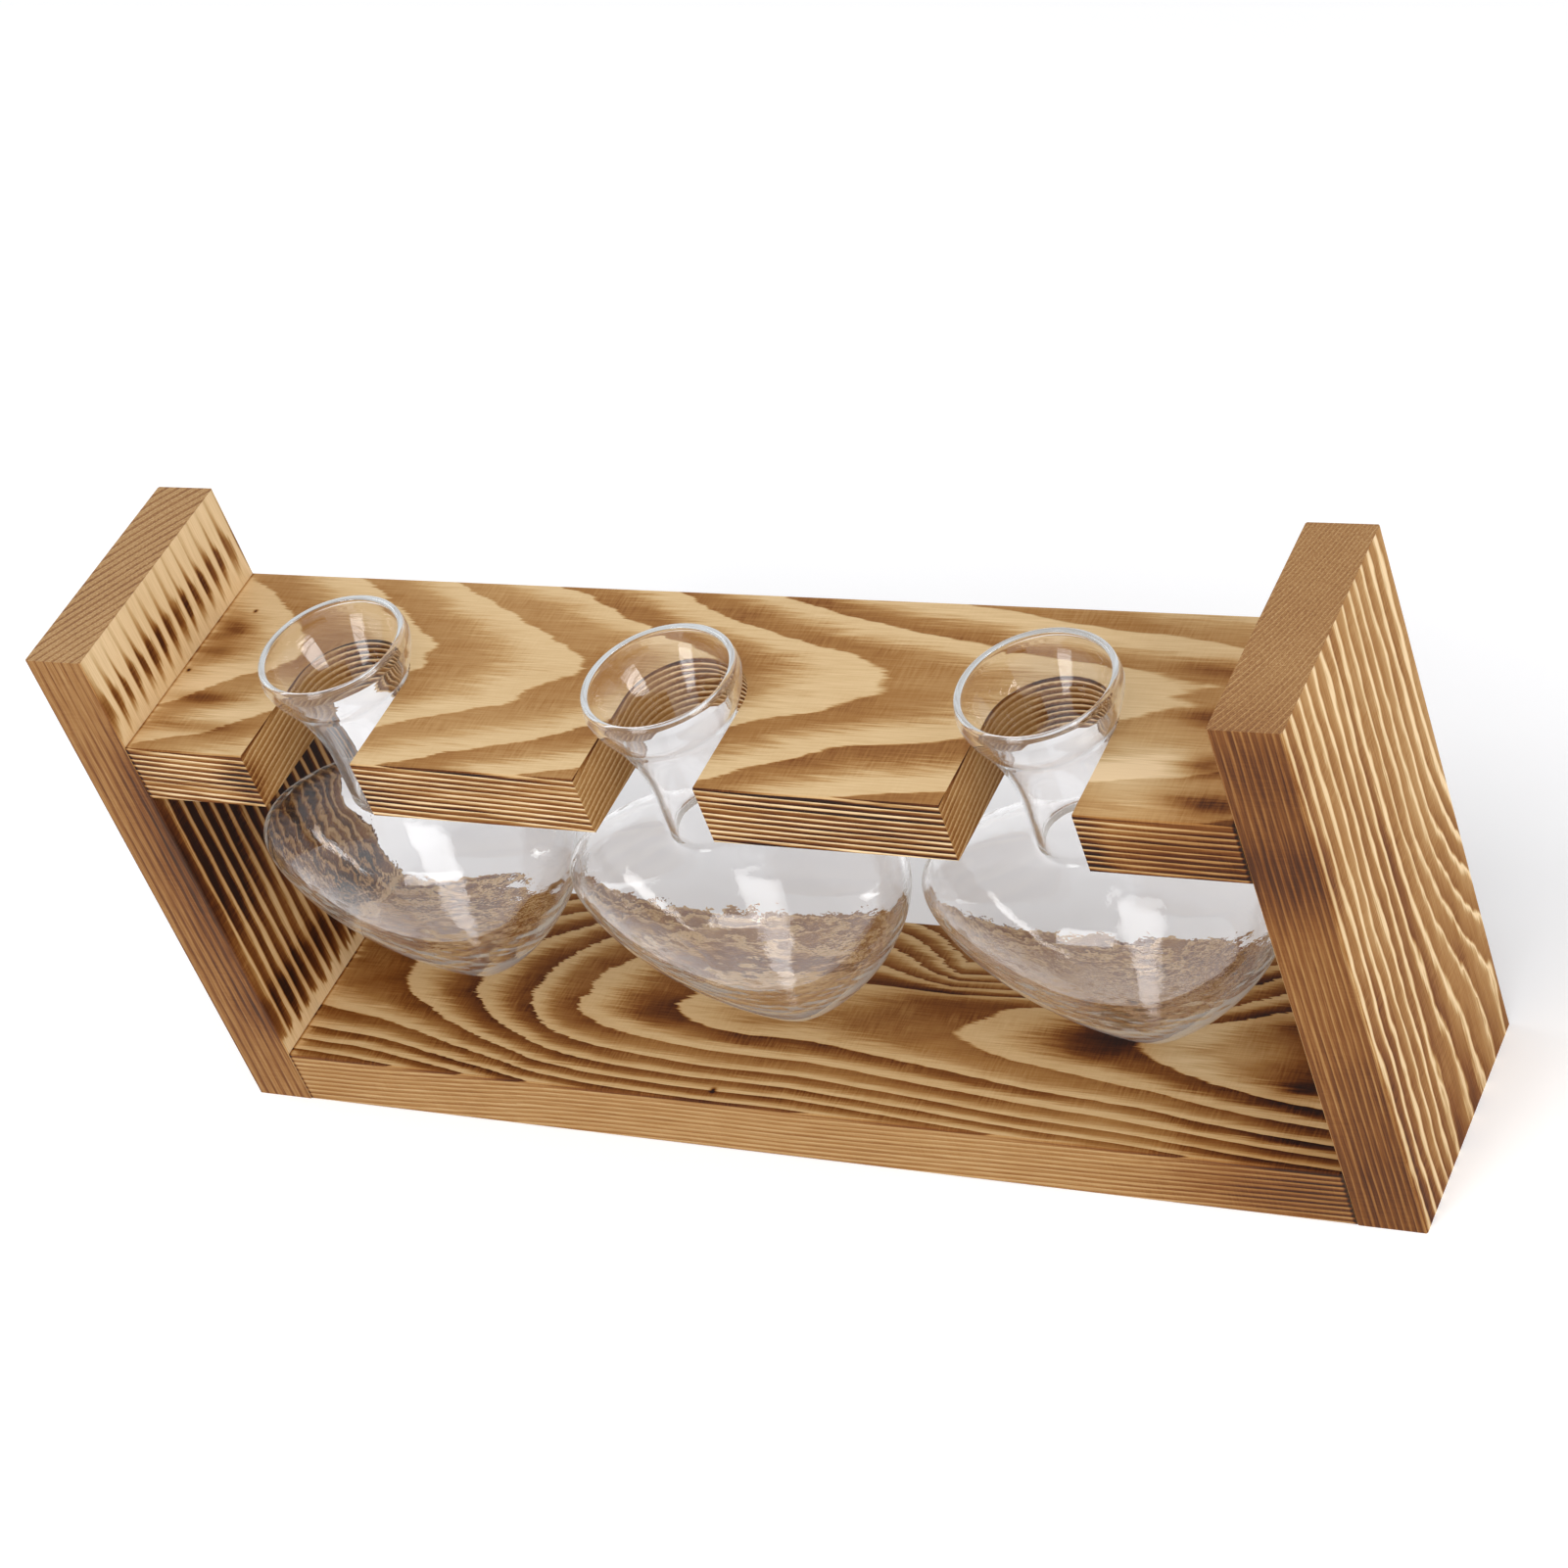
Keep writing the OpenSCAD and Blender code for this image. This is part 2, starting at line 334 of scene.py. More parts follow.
shelf = {
    "axes": "xyz", "seed": 1.0,  # along the grain, across it and through the board
    # Where the nested tips lie along the board, and the ring that each belongs to
    "tips": [(-130, 0.1), (-102, 1), (-69, 2), (-28.5, 3), (3, 4), (40, 5), (114, 6), (132, 6.2)],
    "spine": 6.0,  # where the tips lie across the board
    "backSpread": 0.105, "backRound": 6.5, "frontSpread": 0.08, "frontRound": 14.0,
    "opening": (-120, 0), "closed": 0.5,  # where the back arms spread out, and their share before that
    "layer": 1.55, "top": 111.5,  # how much of the thickness makes a ring, and where the top face lies
    "jag": 5.0, "wave": 0.30, "wobble": 0.35,  # how far noise moves the rings
    "feather": 0.5, "patches": 0.9,  # how much it varies their fading and their depth
    "edge": 0.05, "fade": (0.32, 0.84),  # how wide a ring's sharp start is, and where the ring fades
    "decline": 0.45,  # how much paler it gets before that
    "sideFade": 0.16, "point": 0.0,  # how much later it fades on the sides, and earlier in shallow burns
    # How dark the scorched part gets on flat faces and sides, as stops along the board, and on the ends
    "flatBurnt": [(-130, 0.05), (-122, 0.32), (-60, 0.32), (50, 0.36), (90, 0.33), (106, 0.25), (130, 0.25)],
    "sideBurnt": [(-130, 0.72), (-105, 0.74), (92, 0.76), (104, 0.46), (130, 0.40)],
    "endBurnt": 0.2,
    # How much darker and greyer the whole of the flat faces, sides and ends is
    "toast": (0.15, -0.01, 0.33), "grey": (0.05, 0.0, 0.35),
    "streaks": 1.2,  # how much stronger the fibres are on the sides
    # Darker and paler places: where, how large on each axis and by how much
    "zones": [
        (-124, 10.5, 111, 4, 3, 4, 0.30), (-123, 3, 111, 5, 2, 4, 0.20), (130, -30, 102, 40, 5, 20, 0.46),
        (-130, -30, 102, 9, 7, 20, 0.16), (119, -13.5, 112, 6.5, 3.6, 4, 0.60),
        (123, -24, 112, 9, 2.6, 4, 0.62), (116, -0.5, 112, 7, 2.6, 4, 0.42),
        (112, 13.5, 112, 10, 3, 4, 0.25), (104, -15, 112, 13, 13, 5, -0.20),
        (-101, -30, 103, 5, 4, 8, 0.32), (-119, -12.3, 112, 9, 2.2, 3, 0.40),
        (-116, -21.3, 112, 11, 2.2, 3, 0.40), (-118, -16, 112, 14, 13, 4, -0.13),
    ],
    "pores": [(-121.8, 16.6, 0.5), (-128.2, -3.7, 0.5)],  # where along and across the top, and how wide
    "inside": (0.62, 0.26),  # how much less of the rings a notch's wall shows, and how much darker it is
}
baseBoard = {
    "axes": "xyz", "seed": 2.0,
    # Rings from the core to the loops' left tips, and how many of them the loops lose to the right
    "tips": [
        (-130, 4.8), (-121, 4.65), (-110, 4.4), (-90, 3.4), (-75, 2.4), (-62, 1.4), (-36, 0.4), (-16, 0),
    ],
    "drop": [(0, 0), (30, 0.55), (60, 1.25), (80, 1.65), (100, 2.25), (130, 2.8)],
    "frontSpread": 0.0065, "backSpread": 0.0046,
    "corner": 1.25, "core": 0.6,  # how square the loops are, and where in its ring the core starts
    # Where the loops turn down behind: from and to along and across the board, how fast, and where it ends
    "turn": (-4, 26, 6, 18, 0.0036, 66, 106),
    "layer": 1.5, "top": 15.0,
    "jag": 5.0, "wave": 0.24, "wobble": 0.35,
    "feather": 0.45, "patches": 1.0,
    "edge": 0.05, "fade": (0.40, 0.88),
    "decline": 0.80,
    "sideFade": 0.0, "point": 0.0,
    "flatBurnt": [
        (-130, 0.10), (-125, 0.48), (-95, 0.50), (-50, 0.51),
        (40, 0.47), (90, 0.48), (118, 0.57), (130, 0.48),
    ],
    "sideBurnt": [(-130, 0.25), (90, 0.25), (120, 0.35), (130, 0.4)],
    "endBurnt": 0.2,
    "toast": (0.23, 0.30, 0.4), "grey": (0.0, 0.05, 0.35),
    "streaks": 1.2,
    "zones": [
        (118, -30, 8, 26, 6, 9, 0.30), (66, 1, 15, 16, 6, 6, 0.16), (24, 7, 15, 14, 5, 6, 0.20),
        (98, 0, 15, 15, 6, 6, -0.26), (114, -8, 15, 6, 2.5, 6, 0.34), (107, 10, 15, 10, 3, 6, 0.24),
        (92, 22, 15, 12, 5, 6, 0.16),
    ],
    "pores": [(-17.7, -25.8, 0.7)],
}
leftPanel = {
    "axes": "zyx", "seed": 3.0,
    "face": -130.0, "pitch": 3.9, "shift": 0.05,  # the face with straight lines, and how far apart they are
    "heart": (-81.5, -17.0), "ringWidth": 2.2,  # the middle and width of the rings that show on the ends
    # Lines beyond fanFrom open out by fan, from the height fanHigh down to fanLow
    "fanFrom": 60.0, "fanLow": 25.0, "fanHigh": 88.0, "fan": 0.0,
    "jag": 2.5, "wave": 0.24, "wobble": 0.5,
    "feather": 0.34, "patches": 0.6,
    "edge": 0.18, "fade": (0.58, 0.90),
    "decline": 0.45,
    "sideFade": 0.0, "point": 0.45,
    "thin": [(0, -0.04), (106, -0.04), (113, 0.10), (136, 0.14)],  # how much earlier rings fade, by height
    "flatBurnt": [
        (15, 0), (18, 0.08), (21, 0.62), (29, 0.66), (35, 0.52), (46, 0.52), (53, 0.62), (62, 0.66),
        (96, 0.68), (111, 0.05), (114, 0.20), (118, 0.50), (122, 0.68), (125, 0.52), (129, 0.28),
        (136, 0.14),
    ],
    "outerBurnt": 0.52,  # the outer face lacks the pale places that the shelf and the base leave inside
    "sideBurnt": [(0, 0.18), (136, 0.18)],
    "endBurnt": 0.30,
    "toast": (0.07, 0.53, 0.38), "grey": (0.0, 0.10, 0.26),
    "streaks": 2.2,
    "zones": [
        (75, 0, -130, 27, 60, 8, 0.32), (27, 0, -130, 8, 60, 8, 0.20), (40, 0, -130, 14, 60, 8, 0.10),
        (99, -30, -132, 16, 8, 3, 0.10),
    ],
}
rightPanel = {
    "axes": "zyx", "seed": 4.0,
    "face": 145.0, "pitch": 4.15, "shift": -0.2,
    "heart": (30.0, 90.0), "ringWidth": -1.0,
    "fanFrom": -8.0, "fanLow": 12.0, "fanHigh": 84.0, "fan": 0.50,
    "jag": 2.0, "wave": 0.42, "wobble": 0.8,
    "feather": 0.30, "patches": 0.7,
    "edge": 0.16, "fade": (0.64, 0.95),
    "decline": 0.40,
    "sideFade": 0.0, "point": 0.0,
    "thin": [(0, 0), (136, 0)],
    "flatBurnt": [(0, 0.70), (40, 0.63), (70, 0.57), (100, 0.52), (136, 0.49)],
    "sideBurnt": [(0, 0.21), (60, 0.23), (85, 0.19), (136, 0.17)],
    "endBurnt": 0.14,
    "toast": (0.02, 0.49, 0.40), "grey": (0.0, 0.06, 0.24),
    "streaks": 1.8,
    "zones": [
        (100, -30, 138, 13, 8, 30, 0.22), (126, -30, 138, 12, 8, 30, 0.15), (15, -30, 140, 30, 6, 30, 0.10),
        (0, 12, 145, 16, 50, 8, 0.04), (55, 29, 145, 60, 8, 8, -0.14),
    ],
}


# The arms run back from the tips on both sides of the board's spine, and a higher layer is a later ring
def shelfRings(tree, along, across, through):
    off = across - shelf["spine"]

    # Round at the tip and straight further out
    def arm(distance, roundness, slant):
        return ((distance * distance + roundness ** 2) ** 0.5 - roundness) * slant

    backArm = arm(off.atLeast(0), shelf["backRound"], shelf["backSpread"])
    frontArm = arm(off.atMost(0), shelf["frontRound"], shelf["frontSpread"])
    opened = along.step(*shelf["opening"]) * (1 - shelf["closed"]) + shelf["closed"]
    layers = (through - shelf["top"]) / shelf["layer"]
    return tree.curve(along, shelf["tips"]) + backArm * opened + frontArm + layers, 0


# Long loops round a core at the board's middle, opened out to the right and turned down behind
def baseRings(tree, along, across, through):
    nose = tree.curve(along, baseBoard["tips"])
    back = across.atLeast(0)
    front = across.atMost(0)
    arm = front * front * baseBoard["frontSpread"] + back * back * baseBoard["backSpread"]
    corner = baseBoard["corner"]
    loops = (nose ** corner + arm ** corner) ** (1 / corner)
    start, stop, low, high, rate, fading, ended = baseBoard["turn"]
    gone = (along - start).atLeast(0).atMost(stop - start)
    turned = gone * gone * across.step(low, high) * (1 - along.step(fading, ended)) * rate
    layers = (through - baseBoard["top"]) / baseBoard["layer"]
    return loops + baseBoard["core"] - tree.curve(along, baseBoard["drop"]) + turned + layers, 0


# Straight lines up the panel, which fan out towards its foot, over curved rings seen on the end.
# Where they spread, the pale lines keep their width.
def panelRings(board):
    def rings(tree, along, across, through):
        beyond = across - board["fanFrom"]
        fanned = (1 - along.step(board["fanLow"], board["fanHigh"])) * beyond.step(-1, 1)
        spread = 1 - fanned * board["fan"]
        heartAcross, heartThrough = board["heart"]
        offAcross = across - heartAcross
        offThrough = through - heartThrough
        here = (offAcross * offAcross + offThrough * offThrough) ** 0.5
        onFace = (offAcross ** 2 + (board["face"] - heartThrough) ** 2) ** 0.5
        curved = (here - onFace) / board["ringWidth"]
        narrowed = (1 - spread) * brushing["paleWidth"] - tree.curve(along, board["thin"])
        return beyond / board["pitch"] * spread + board["shift"] + curved, narrowed
    return rings


# How much of a flat face, a side, an end and a notch's wall shows here. A notch's wall counts as a side too.
def faceShares(tree, board, facing, along):
    endAxis, sideAxis, _ = board["axes"]
    side = (facing[sideAxis] ** 2).step(*brushing["facing"])
    end = (facing[endAxis] ** 2).step(*brushing["facing"])
    inside = end * 0
    if "inside" in board:
        inside = end * (1 - along.size().step(*brushing["boardEnd"]))
    side = side.atLeast(inside)
    end = end - inside
    return 1 - side - end, side, end, inside


# 1 in a spot's middle, fading softly to 0 round it
def spot(off):
    return (off * -1).maths("EXPONENT")


def pineMaterial(name, board, ringField):
    material, tree = emptyMaterial(name)
    coordinates = tree.node("ShaderNodeTexCoord").socket.node
    places = dict(zip("xyz", [p / mm for p in tree.parts(Wire(tree, coordinates.outputs["Object"]))]))
    facing = dict(zip("xyz", tree.parts(Wire(tree, coordinates.outputs["Normal"]))))
    spots = [places[axis] for axis in board["axes"]]
    along, across, through = spots
    flat, side, end, inside = faceShares(tree, board, facing, along)
    noises = {noise: tree.noise(spots, lengths, detail, board["seed"] + step)
              for noise, (lengths, detail, step) in grain.items()}

    # The ring that a point belongs to, and how far into the ring it lies
    rings, narrowed = ringField(tree, along + noises["jag"] * board["jag"], across, through)
    wobble = noises["wobble"] * (flat * (1 - brushing["calm"]) + brushing["calm"]) * board["wobble"]
    rings = rings + (noises["wave"] + wobble) * (board["wave"] * brushing["wavy"])
    share = rings.maths("FRACT")
    chance = tree.node("ShaderNodeTexWhiteNoise", {"noise_dimensions": "1D"},
                       {"W": rings.maths("FLOOR") + board["seed"] * 9})

    # How dark a ring's scorched part gets
    flame = along + noises["flame"] * brushing["flameReach"]
    flatDepth = tree.curve(flame, board["flatBurnt"])
    if "outerBurnt" in board:
        flatDepth = flatDepth + (board["outerBurnt"] - flatDepth) * through.size().step(*brushing["outside"])
    depth = flat * flatDepth + side * tree.curve(flame, board["sideBurnt"]) + end * board["endBurnt"]
    uneven = (noises["patches"] + noises["blotches"] * brushing["blotchShare"]) * board["patches"] + 1
    evened, insideToast = board.get("inside", (0, 0))
    depth = depth * (1 - inside * evened) * uneven

    # What is dark all over
    flatToast, sideToast, endToast = board["toast"]
    toast = flat * flatToast + side * sideToast + end * endToast + inside * insideToast
    toast = toast + noises["patches"] * brushing["patchToast"]
    for a, b, c, length, width, thickness, strength in board["zones"]:
        off = ((flame - a) / length) ** 2 + ((across - b) / width) ** 2 + ((through - c) / thickness) ** 2
        toast = toast + spot(off) * strength
    for a, b, radius in board.get("pores", []):
        off = ((along - a) ** 2 + (across - b) ** 2) / radius ** 2
        toast = toast + spot(off) * flat * brushing["poreTone"]
    if "top" in board:
        low, high = brushing["brink"]
        # Painted gap shadow at the ends, where a board meets the panels
        toast = toast + along.size().step(*brushing["joint"]) * brushing["jointShadow"]
        toast = toast + side * through.step(board["top"] - low, board["top"] - high) * brushing["brinkToast"]

    # Each ring starts at a sharp edge and fades
    faded = share + noises["feather"] * (board["feather"] * brushing["ragged"]) - narrowed
    faded = faded + (chance - 0.5) * brushing["ringChance"] - side * board["sideFade"]
    faded = faded + (1 - (depth * brushing["pointDepth"]).clipped()) * board["point"]
    brown = share.step(0.0, board["edge"]) * (1 - faded.step(*board["fade"]))
    brown = brown * (brushing["edgeTone"] - share * board["decline"])
    brown = brown * (chance * brushing["toneChance"] + brushing["leastTone"])
    burn = brown * depth + toast

    # Fibres all over, speckles and finer rings on the ends, and the brush's marks where the wood is burnt
    streaks = 1 + side * (board["streaks"] - 1)
    burn = burn + noises["fibre"] * brushing["fibreTone"] * streaks
    fineRings = 0.5 - (rings * brushing["fineRings"]).maths("FRACT")
    burn = burn + end * (noises["speckle"] * brushing["speckleTone"] + fineRings * brushing["fineRingTone"])
    combed = noises["combed"].step(*brushing["combedFrom"])
    combed = combed * brushing["combedShare"] + brushing["combedLeast"]
    combed = combed * (burn * brushing["combDepth"] - brushing["combStart"]).clipped()
    combed = combed * (1 - end - side * (1 - brushing["sideComb"]))
    burn = burn + noises["comb"] * combed * brushing["combTone"]

    colour = tree.node("ShaderNodeValToRGB", {"stops": pineTones}, {"Fac": burn.clipped()})
    flatGrey, sideGrey, endGrey = board["grey"]
    greyed = flat * flatGrey + side * sideGrey + end * endGrey
    colour = tree.blend(greyed, colour, (*brushing["grey"], 1))

    height = (1 - brown) * brushing["ringHeight"] + noises["fibre"] * brushing["fibreHeight"]
    height = height + noises["comb"] * brushing["combHeight"]
    bump = tree.node("ShaderNodeBump", None, {
        "Strength": brushing["bump"], "Distance": brushing["relief"] * mm, "Height": height})
    roughness = noises["fibre"] * brushing["fibreRoughness"] + brushing["roughness"]
    surface = tree.node("ShaderNodeBsdfPrincipled", None, {
        "Base Color": colour, "Roughness": roughness, "Specular IOR Level": brushing["shine"],
        "Normal": bump})
    tree.finish("ShaderNodeOutputMaterial", surface)
    return material


def dress(nodeName, material):
    node = frame["nodes"][nodeName]
    node.data.materials.clear()
    node.data.materials.append(material)


dress("shelf", pineMaterial("shelf_pine", shelf, shelfRings))
dress("base_board", pineMaterial("base_pine", baseBoard, baseRings))
dress("left_panel", pineMaterial("left_pine", leftPanel, panelRings(leftPanel)))
dress("right_panel", pineMaterial("right_pine", rightPanel, panelRings(rightPanel)))
print("boards dressed")

# Dowels: straight-grained beech without scorching, whose top lies far off so that no brink shows
beech = dict(leftPanel)
beech.update({
    "axes": "xyz", "seed": 9.0, "top": 500.0, "streaks": 1.0, "wave": 0.1, "zones": [],
    "thin": [(-140, 0), (140, 0)],
    "flatBurnt": [(-140, 0.12), (140, 0.12)],
    "sideBurnt": [(-140, 0.12), (140, 0.12)],
    "endBurnt": 0.12, "toast": (0.12, 0.12, 0.15),
})
dowelMaterial = pineMaterial("dowel_beech", beech, panelRings(beech))
for nodeName in frame["nodes"]:
    if "dowel" in nodeName:
        dress(nodeName, dowelMaterial)
print("dowels dressed")

# Glass vases: sizes in millimetres, heights from the shelf's top face
vase = {
    "Mouth Width": 32.8, "Cup Width": 34.0, "Neck Width": 20.2, "Seat Width": 27.8,
    "Mouth Rise": 10.9, "Cup Rise": 7.5, "Neck Top": -18.0, "Shoulder Top": -27.95,
    "Widest": -44.0, "Bottom": -90.0, "Bulb Width": 80.0, "Bulb Depth": 45.0,
    "Wall": 1.3, "Floor": 2.4, "Bead": 1.45, "Ripple": 0.3,
}
# Powers of the curves that shape a vase, how far round its bead goes and how far that reaches down inside
blown = {
    "bulbSharp": 1.6, "bulbRound": 1 / 1.2, "shoulderSharp": 2.6, "shoulderSlope": 1.6, "cupSlope": 1.5,
    "beadTurn": math.pi * 1.25, "beadDrop": 1.3,
    # The bulb's unevenness: its lumps' size, where it starts below the shelf, the outside's share of it
    "lumps": (14, 14, 10), "uneven": (18, 34), "outsideShare": 0.5,
    "weld": 0.01,  # how near the bands' rings are, to be joined
}
vaseSeeds = {"vase_left": 3.0, "vase_middle": 11.0, "vase_right": 17.0}
vaseRings = {
    "around": 160,  # how many faces a ring has, and below how many rings each band has
    "taper": 48, "shoulder": 30, "neck": 8, "funnel": 18, "cup": 8, "lip": 6, "bead": 16, "beadNeck": 3,
}
glassLook = {
    "colour": (0.985, 0.98, 0.98), "bend": 1.45, "mirror": 0.12, "shade": 0.92,
    # How high the inner wall's waves are, how long, and how much of them the neck keeps above the bulb
    "waves": 0.13, "long": (3.4, 3.4, 2.8), "short": (0.9, 0.9, 0.7), "shortShare": 0.16,
    "calm": 0.1, "bulbTop": (72, 84),
    # After how many reflections or walls light counts as caught, and the painted glow that comes out instead
    # at the bulb and above it
    "reflections": 2.5, "crossings": 9.5,
    "paintedGlow": (0.36, 0.32, 0.28), "paintedMouthGlow": (0.66, 0.69, 0.71), "mouth": (74, 92),
    "highlightPatch": 6, "highlightContrast": 2.4, "highlightMean": 0.75,
}


def glassMaterial():
    material, tree = emptyMaterial("clear_glass")
    place = tree.node("ShaderNodeTexCoord", out="Object")
    spots = [p / mm for p in tree.parts(place)]
    # The wall's inner side is wavy in the bulb, and its outer side is smooth and mirrors the lamps
    inside = tree.node("ShaderNodeAttribute", {"attribute_name": "inside"}, out="Fac")
    bulb = 1 - spots[2].step(*glassLook["bulbTop"])
    waves = tree.noise(spots, glassLook["long"], detail=0.0, seed=6.0)
    waves = waves + tree.noise(spots, glassLook["short"], detail=1.0, seed=5.0) * glassLook["shortShare"]
    height = waves * inside * (bulb * (1 - glassLook["calm"]) + glassLook["calm"])
    bump = tree.node("ShaderNodeBump", None, {
        "Strength": 1.0, "Distance": glassLook["waves"] * mm, "Height": height})
    clear = tree.node("ShaderNodeBsdfPrincipled", None, {
        "Base Color": (*glassLook["colour"], 1), "Roughness": 0.0, "IOR": glassLook["bend"],
        "Specular IOR Level": glassLook["mirror"], "Transmission Weight": 1.0, "Normal": bump})
    # Where light is caught in the thin wall, a painted glow comes out instead of the glass. It is pale, with
    # painted highlights in paler patches of the cup and neck
    turned = tree.node("ShaderNodeLightPath", out="Glossy Depth")
    crossed = tree.node("ShaderNodeLightPath", out="Ray Depth")
    caught = turned.maths("GREATER_THAN", glassLook["reflections"])
    caught = caught.atLeast(crossed.maths("GREATER_THAN", glassLook["crossings"]))
    patches = tree.noise(spots, (glassLook["highlightPatch"],) * 3, detail=0.0, seed=8.0)
    paler = (patches * glassLook["highlightContrast"] + glassLook["highlightMean"]).clipped()
    # Painted highlights: the glow is paler in patches from the neck up
    paler = spots[2].step(*glassLook["mouth"]) * paler
    paintedGlows = [tree.node("ShaderNodeEmission", None, {"Color": (*glassLook[tint], 1), "Strength": 1.0})
             for tint in ("paintedGlow", "paintedMouthGlow")]
    paintedGlow = tree.node("ShaderNodeMixShader", None, {0: paler, 1: paintedGlows[0], 2: paintedGlows[1]})
    clear = tree.node("ShaderNodeMixShader", None, {0: caught, 1: clear, 2: paintedGlow})
    # Lamps shine through it
    shade = (glassLook["shade"],) * 3
    through = tree.node("ShaderNodeBsdfTransparent", None, {"Color": (*shade, 1)})
    passing = seenBy(tree, "Is Shadow Ray", "Is Diffuse Ray")
    surface = tree.node("ShaderNodeMixShader", None, {0: passing, 1: clear, 2: through})
    tree.finish("ShaderNodeOutputMaterial", surface)
    return material


# The blown shape: bands of rings, from the bulb's bottom up the outside, over the lip and down the inside
def vaseTree():
    group = bpy.data.node_groups.new("blownVase", "GeometryNodeTree")
    group.interface.new_socket("Geometry", in_out="OUTPUT", socket_type="NodeSocketGeometry")
    for name in [*vase, "Seed"]:
        group.interface.new_socket(name, in_out="INPUT", socket_type="NodeSocketFloat")
    group.interface.new_socket("Place", in_out="INPUT", socket_type="NodeSocketVector")
    group.interface.new_socket("Glass", in_out="INPUT", socket_type="NodeSocketMaterial")
    tree = Tree(group)
    inputs = group.nodes.new("NodeGroupInput")
    size = {socket.name: Wire(tree, socket) for socket in inputs.outputs if socket.name}
    wall, bead = size["Wall"], size["Bead"] / 2
    mouth, cup, neck, seat = (size[w] / 2 for w in ("Mouth Width", "Cup Width", "Neck Width", "Seat Width"))
    halfWidth, halfDepth = size["Bulb Width"] / 2, size["Bulb Depth"] / 2
    rise, cupRise, neckTop = size["Mouth Rise"], size["Cup Rise"], size["Neck Top"]
    beadMiddle = rise - bead

    # One band: x radius, y radius and height, each a function of t, which runs from 0 to 1
    def band(steps, shape):
        grid = tree.node("GeometryNodeMeshGrid", None, {
            "Size X": 1.0, "Size Y": 1.0, "Vertices X": vaseRings["around"] + 1, "Vertices Y": steps + 1})
        u, v, _ = tree.parts(tree.node("GeometryNodeInputPosition"))
        turn = (u + 0.5) * (2 * math.pi)
        radiusX, radiusY, height = shape(v + 0.5)
        place = tree.vector(turn.maths("COSINE") * radiusX, turn.maths("SINE") * radiusY, height)
        return tree.node("GeometryNodeSetPosition", None, {"Geometry": grid, "Position": place})

    def taper(inset, lift):
        bottom = size["Bottom"] + lift

        def shape(t):
            down = ((1 - t) * (math.pi / 2)).maths("SINE")
            share = (1 - down ** blown["bulbSharp"]).atLeast(0) ** blown["bulbRound"]
            return ((halfWidth - inset) * share, (halfDepth - inset) * share,
                    size["Widest"] + (bottom - size["Widest"]) * down)
        return shape

    def shoulder(inset):
        thin = neck - inset
        top = size["Shoulder Top"] - inset

        def shape(t):
            share = (1 - t ** blown["shoulderSharp"]).atLeast(0) ** blown["shoulderSlope"]
            return (thin + (halfWidth - inset - thin) * share, thin + (halfDepth - inset - thin) * share,
                    size["Widest"] + (top - size["Widest"]) * t)
        return shape

    def tube(inset):
        top = size["Shoulder Top"] - inset
        return lambda t: (neck - inset, neck - inset, top + (neckTop - top) * t)

    def funnel(inset):
        def shape(t):
            radius = neck + (seat - neck) * t ** 2 - inset
            return radius, radius, neckTop * (1 - t)
        return shape

    def cupWall(inset):
        def shape(t):
            radius = cup - (cup - seat) * (1 - t) ** blown["cupSlope"] - inset
            return radius, radius, cupRise * t
        return shape

    # The rim draws in above the cup
    def rimRadius(height):
        return cup - (cup - mouth) * ((height - cupRise) / (rise - cupRise)) ** 2

    def lip(t):
        height = cupRise + (beadMiddle - cupRise) * t
        radius = rimRadius(height)
        return radius, radius, height

    # The bead joins the outer wall to the inner one over the top
    def beadArc(t):
        angle = t * blown["beadTurn"]
        radius = rimRadius(beadMiddle) - bead + bead * angle.maths("COSINE")
        return radius, radius, beadMiddle + bead * angle.maths("SINE")

    beadFoot = beadMiddle - bead * blown["beadDrop"]

    def beadNeck(t):
        start = rimRadius(beadMiddle) + bead * (math.cos(blown["beadTurn"]) - 1)
        low = beadMiddle + bead * math.sin(blown["beadTurn"])
        radius = start + (rimRadius(beadFoot) - wall - start) * t
        return radius, radius, low + (beadFoot - low) * t

    def backwards(shape):
        return lambda t: shape(1 - t)

    def innerLip(t):
        height = beadFoot + (cupRise - beadFoot) * t
        radius = rimRadius(height) - wall
        return radius, radius, height

    bands = [
        band(vaseRings["taper"], taper(0, 0)),
        band(vaseRings["shoulder"], shoulder(0)),
        band(vaseRings["neck"], tube(0)),
        band(vaseRings["funnel"], funnel(0)),
        band(vaseRings["cup"], cupWall(0)),
        band(vaseRings["lip"], lip),
        band(vaseRings["bead"], beadArc),
        band(vaseRings["beadNeck"], beadNeck),
        band(vaseRings["lip"], innerLip),
        band(vaseRings["cup"], backwards(cupWall(wall))),
        band(vaseRings["funnel"], backwards(funnel(wall))),
        band(vaseRings["neck"], backwards(tube(wall))),
        band(vaseRings["shoulder"], backwards(shoulder(wall))),
        band(vaseRings["taper"], backwards(taper(wall, size["Floor"]))),
    ]

    def join(pieces):
        joined = group.nodes.new("GeometryNodeJoinGeometry")
        for piece in reversed(pieces):
            group.links.new(piece.socket, joined.inputs[0])
        return tree.node("GeometryNodeMergeByDistance", None, {
            "Geometry": Wire(tree, joined.outputs[0]), "Distance": blown["weld"]})

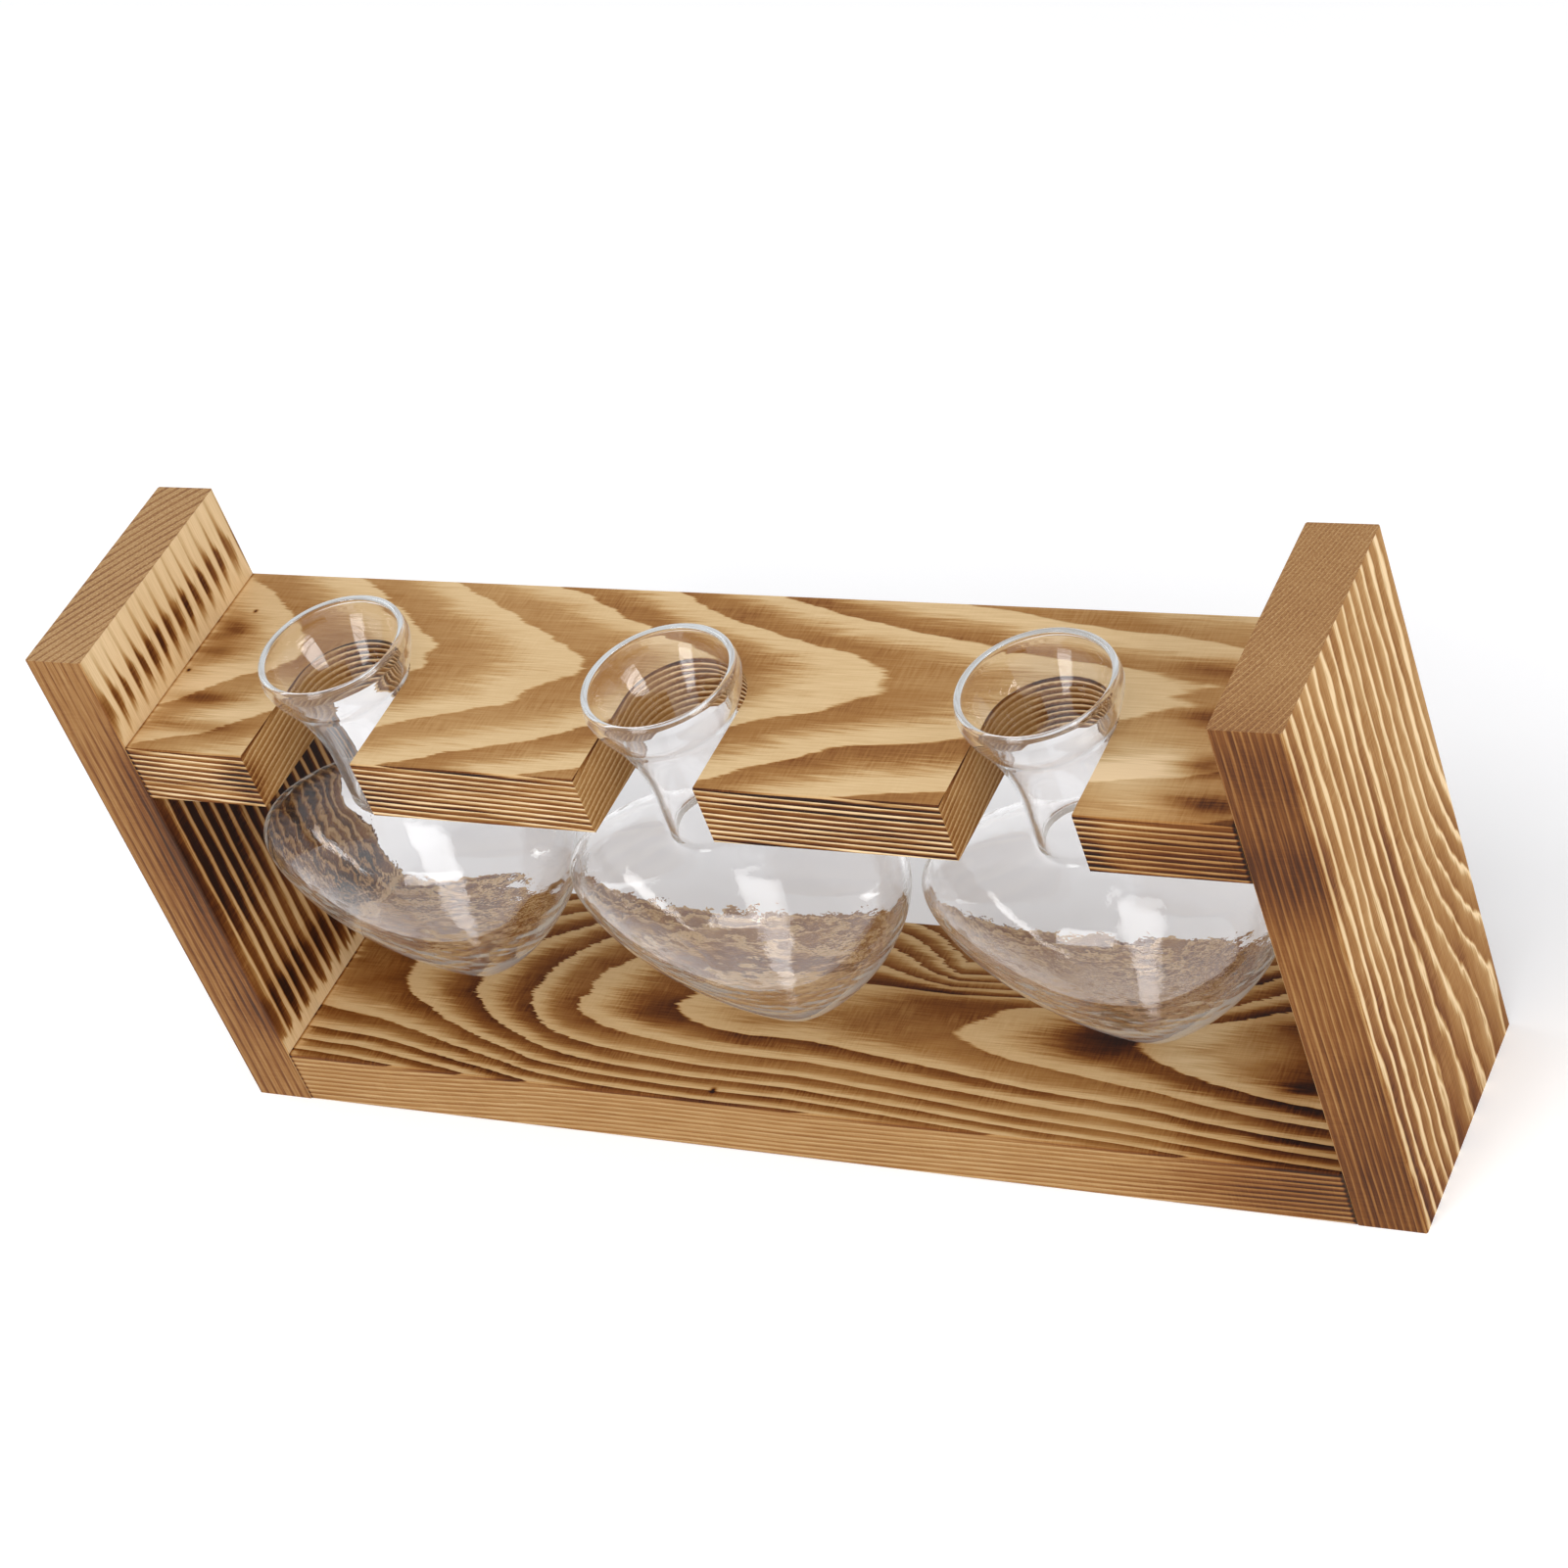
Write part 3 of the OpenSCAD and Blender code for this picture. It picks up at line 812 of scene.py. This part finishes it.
    # The bulb is a little uneven: the outside is only pressed inwards, the inside goes both ways
    def uneven(piece, press, seed, amount):
        spots = tree.parts(tree.node("GeometryNodeInputPosition"))
        push = tree.noise(spots, blown["lumps"], detail=1.0, seed=size["Seed"] + seed) - press
        still = (spots[2] * -1).step(*blown["uneven"])
        offset = tree.node("ShaderNodeVectorMath", {"operation": "SCALE"}, {
            0: tree.node("GeometryNodeInputNormal"), "Scale": push * still * size["Ripple"] * amount})
        return tree.node("GeometryNodeSetPosition", None, {"Geometry": piece, "Offset": offset})

    outside = uneven(join(bands[:6]), press=0.5, seed=0, amount=blown["outsideShare"])
    inside = uneven(join(bands[8:]), press=0, seed=20, amount=1)
    inside = tree.node("GeometryNodeStoreNamedAttribute", {"data_type": "FLOAT"}, {
        "Geometry": inside, "Name": "inside", "Value": 1.0})
    whole = join([outside, bands[6], bands[7], inside])
    whole = tree.node("GeometryNodeTransform", None, {
        "Geometry": whole, "Translation": size["Place"], "Scale": (mm, mm, mm)})
    whole = tree.node("GeometryNodeSetShadeSmooth", None, {"Geometry": whole})
    whole = tree.node("GeometryNodeRealizeInstances", None, {"Geometry": whole})
    whole = tree.node("GeometryNodeSetMaterial", None, {"Geometry": whole, "Material": size["Glass"]})
    output = group.nodes.new("NodeGroupOutput")
    group.links.new(whole.socket, output.inputs[0])
    return group


def makeVases():
    group = vaseTree()
    glass = glassMaterial()
    sockets = {s.name: s.identifier for s in group.interface.items_tree if s.in_out == "INPUT"}
    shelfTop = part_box("shelf")[1].z
    for nodeName, seed in vaseSeeds.items():
        low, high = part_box(nodeName)
        carrier = bpy.data.objects.new(nodeName + "_blown", bpy.data.meshes.new(nodeName + "_blown"))
        bpy.context.scene.collection.objects.link(carrier)
        modifier = carrier.modifiers.new("blown", "NODES")
        modifier.node_group = group
        for name, value in vase.items():
            modifier[sockets[name]] = value
        modifier[sockets["Seed"]] = seed
        modifier[sockets["Place"]] = ((low.x + high.x) / 2, (low.y + high.y) / 2, shelfTop)
        modifier[sockets["Glass"]] = glass
        carrier.update_tag()
        bpy.context.view_layer.update()
        shaped = carrier.evaluated_get(bpy.context.evaluated_depsgraph_get())
        mesh = bpy.data.meshes.new_from_object(shaped)
        carrier.modifiers.clear()
        carrier.data = mesh
        bodies = frame["record"]["behaviour"]["bodies"]
        body = next(name for name, members in bodies.items() if nodeName in members)
        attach(carrier, body)
        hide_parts(nodeName)
        print(nodeName, "blown with", len(mesh.polygons), "faces")


makeVases()
